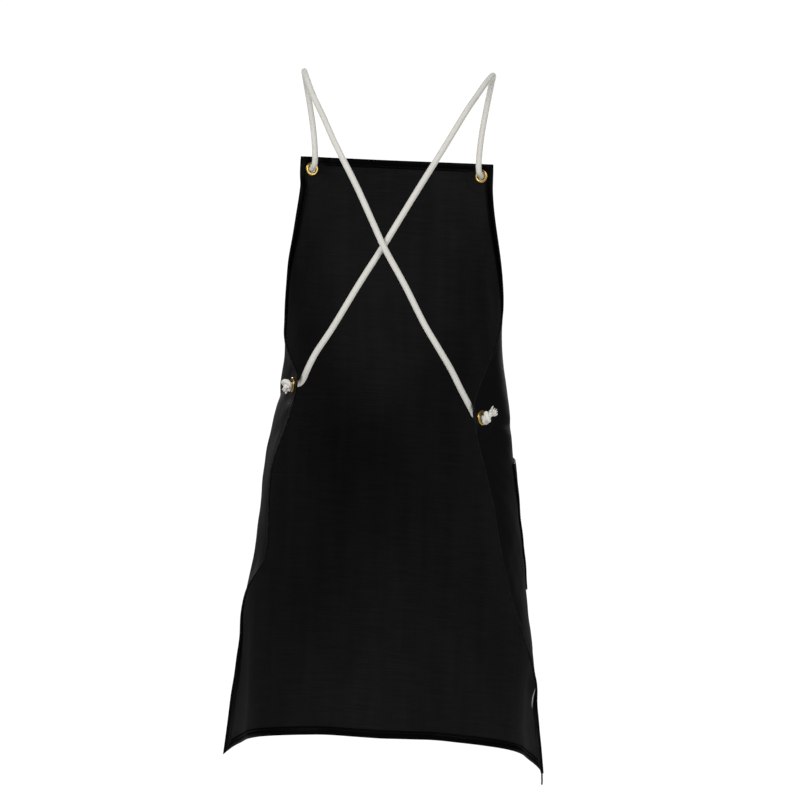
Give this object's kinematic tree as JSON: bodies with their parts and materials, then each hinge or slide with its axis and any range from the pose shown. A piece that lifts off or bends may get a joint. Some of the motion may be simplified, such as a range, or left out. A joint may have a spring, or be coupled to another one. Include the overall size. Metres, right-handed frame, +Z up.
{
  "type": "vinyl apron",
  "caption": "Bib apron of fabric-backed vinyl in its worn form, with a patch pocket, brass eyelets and knotted cotton cords that cross on the back.",
  "frame": {"origin": "midway between the two cords where they pass over the wearer's shoulders, at the cords' centre line", "axes": "+Z up, +Y to the wearer's front, +X to the wearer's right"},
  "size_m": [0.4448, 0.2615, 0.9796],
  "materials": {
    "vinyl": "satin black vinyl outside, dark grey knitted backing inside",
    "brass": "plain polished brass",
    "cotton": "soft braided cotton"
  },
  "bodies": {
    "root": {"apron_body": "vinyl", "pocket": "vinyl", "eyelet_waist_right": "brass", "eyelet_waist_left": "brass", "eyelet_bib_right": "brass", "eyelet_bib_left": "brass", "knot_waist_right": "cotton", "knot_waist_left": "cotton", "knot_bib_right": "cotton", "knot_bib_left": "cotton", "cord_left_shoulder": "cotton", "cord_right_shoulder": "cotton"}
  },
  "joints": []
}
